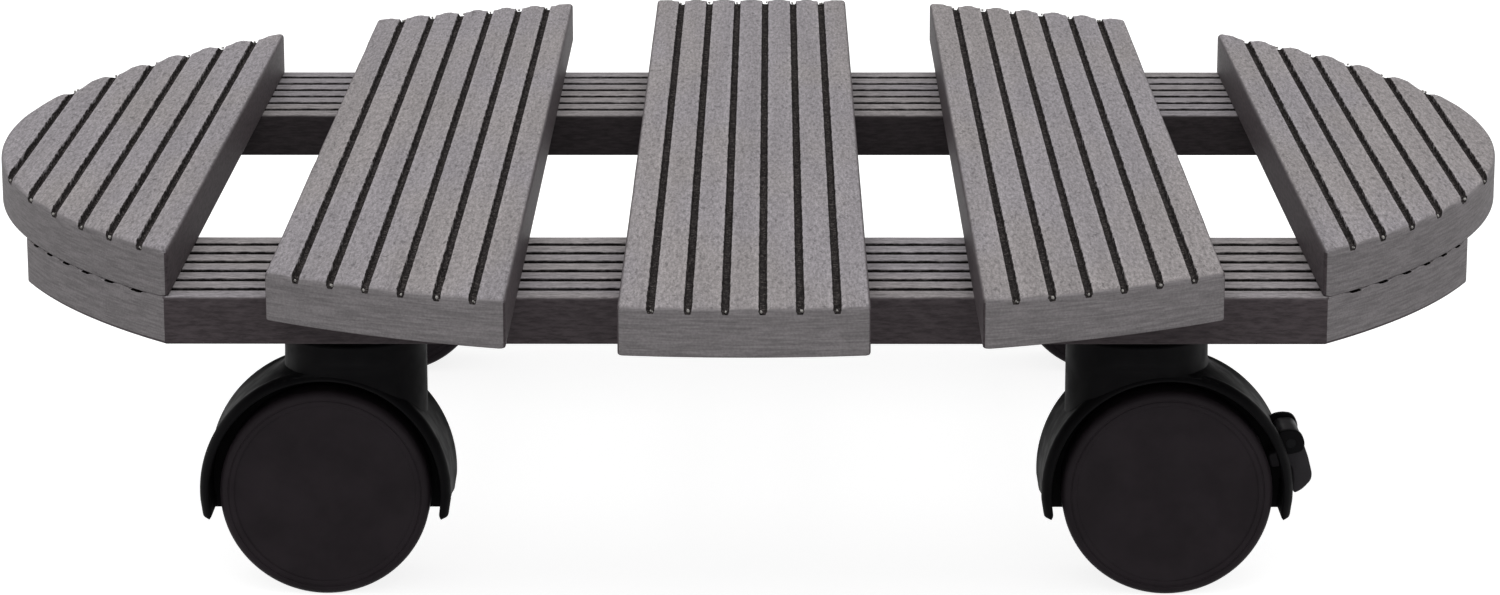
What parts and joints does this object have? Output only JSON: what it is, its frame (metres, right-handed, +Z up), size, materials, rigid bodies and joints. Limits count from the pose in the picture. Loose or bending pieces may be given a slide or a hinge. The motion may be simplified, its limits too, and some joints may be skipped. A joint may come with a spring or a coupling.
{
  "type": "plant caddy",
  "caption": "Round rolling plant stand: grooved deck boards on two rails, carried by hooded twin-wheel swivel casters, with a toe brake.",
  "frame": {"origin": "on the floor, under the middle of the deck", "axes": "+Z up; the slats run along Y and the rails along X; -Y is the side towards the camera, where the brake is on the right"},
  "size_m": [0.305, 0.305, 0.071],
  "materials": {
    "decking": "matte, fine grain",
    "black_plastic": "satin moulded",
    "black_wheel": "satin moulded",
    "zinc_steel": "bright zinc"
  },
  "bodies": {
    "deck": {"end_slat_left": "decking", "inner_slat_left": "decking", "middle_slat": "decking", "inner_slat_right": "decking", "end_slat_right": "decking", "front_rail": "decking", "rear_rail": "decking", "deck_screws": "zinc_steel", "front_left_plate": "zinc_steel", "front_left_plate_screws": "zinc_steel", "front_left_stem": "zinc_steel", "front_left_ring": "zinc_steel", "front_right_plate": "zinc_steel", "front_right_plate_screws": "zinc_steel", "front_right_stem": "zinc_steel", "front_right_ring": "zinc_steel", "rear_left_plate": "zinc_steel", "rear_left_plate_screws": "zinc_steel", "rear_left_stem": "zinc_steel", "rear_left_ring": "zinc_steel", "rear_right_plate": "zinc_steel", "rear_right_plate_screws": "zinc_steel", "rear_right_stem": "zinc_steel", "rear_right_ring": "zinc_steel"},
    "front_left_caster": {"front_left_hood": "black_plastic", "front_left_axle": "zinc_steel"},
    "front_left_front_roller": {"front_left_front_wheel": "black_wheel"},
    "front_left_rear_roller": {"front_left_rear_wheel": "black_wheel"},
    "front_right_caster": {"front_right_hood": "black_plastic", "front_right_axle": "zinc_steel", "front_right_brake_pin": "zinc_steel"},
    "front_right_front_roller": {"front_right_front_wheel": "black_wheel"},
    "front_right_rear_roller": {"front_right_rear_wheel": "black_wheel"},
    "rear_left_caster": {"rear_left_hood": "black_plastic", "rear_left_axle": "zinc_steel"},
    "rear_left_front_roller": {"rear_left_front_wheel": "black_wheel"},
    "rear_left_rear_roller": {"rear_left_rear_wheel": "black_wheel"},
    "rear_right_caster": {"rear_right_hood": "black_plastic", "rear_right_axle": "zinc_steel"},
    "rear_right_front_roller": {"rear_right_front_wheel": "black_wheel"},
    "rear_right_rear_roller": {"rear_right_rear_wheel": "black_wheel"},
    "front_right_lever": {"front_right_brake_lever": "black_plastic"}
  },
  "joints": [
    {"name": "front_left_swivel", "type": "hinge", "parent": "deck", "child": "front_left_caster", "pos_m": [-0.0744, -0.0833, 0.0515], "axis": [0, 0, 1], "continuous": true},
    {"name": "front_left_front_roll", "type": "hinge", "parent": "front_left_caster", "child": "front_left_front_roller", "pos_m": [-0.08, -0.0833, 0.02], "axis": [0, 1, 0], "continuous": true},
    {"name": "front_left_rear_roll", "type": "hinge", "parent": "front_left_caster", "child": "front_left_rear_roller", "pos_m": [-0.08, -0.0833, 0.02], "axis": [0, 1, 0], "continuous": true},
    {"name": "front_right_swivel", "type": "hinge", "parent": "deck", "child": "front_right_caster", "pos_m": [0.0744, -0.0833, 0.0515], "axis": [0, 0, 1], "continuous": true},
    {"name": "front_right_front_roll", "type": "hinge", "parent": "front_right_caster", "child": "front_right_front_roller", "pos_m": [0.08, -0.0833, 0.02], "axis": [0, 1, 0], "continuous": true},
    {"name": "front_right_rear_roll", "type": "hinge", "parent": "front_right_caster", "child": "front_right_rear_roller", "pos_m": [0.08, -0.0833, 0.02], "axis": [0, 1, 0], "continuous": true},
    {"name": "rear_left_swivel", "type": "hinge", "parent": "deck", "child": "rear_left_caster", "pos_m": [-0.0744, 0.0833, 0.0515], "axis": [0, 0, 1], "continuous": true},
    {"name": "rear_left_front_roll", "type": "hinge", "parent": "rear_left_caster", "child": "rear_left_front_roller", "pos_m": [-0.08, 0.0833, 0.02], "axis": [0, 1, 0], "continuous": true},
    {"name": "rear_left_rear_roll", "type": "hinge", "parent": "rear_left_caster", "child": "rear_left_rear_roller", "pos_m": [-0.08, 0.0833, 0.02], "axis": [0, 1, 0], "continuous": true},
    {"name": "rear_right_swivel", "type": "hinge", "parent": "deck", "child": "rear_right_caster", "pos_m": [0.0744, 0.0833, 0.0515], "axis": [0, 0, 1], "continuous": true},
    {"name": "rear_right_front_roll", "type": "hinge", "parent": "rear_right_caster", "child": "rear_right_front_roller", "pos_m": [0.08, 0.0833, 0.02], "axis": [0, 1, 0], "continuous": true},
    {"name": "rear_right_rear_roll", "type": "hinge", "parent": "rear_right_caster", "child": "rear_right_rear_roller", "pos_m": [0.08, 0.0833, 0.02], "axis": [0, 1, 0], "continuous": true},
    {"name": "brake_lever_lift", "type": "hinge", "parent": "front_right_caster", "child": "front_right_lever", "pos_m": [0.10353, -0.0833, 0.02903], "axis": [0, -1, 0], "range_deg": [0, 40]}
  ]
}
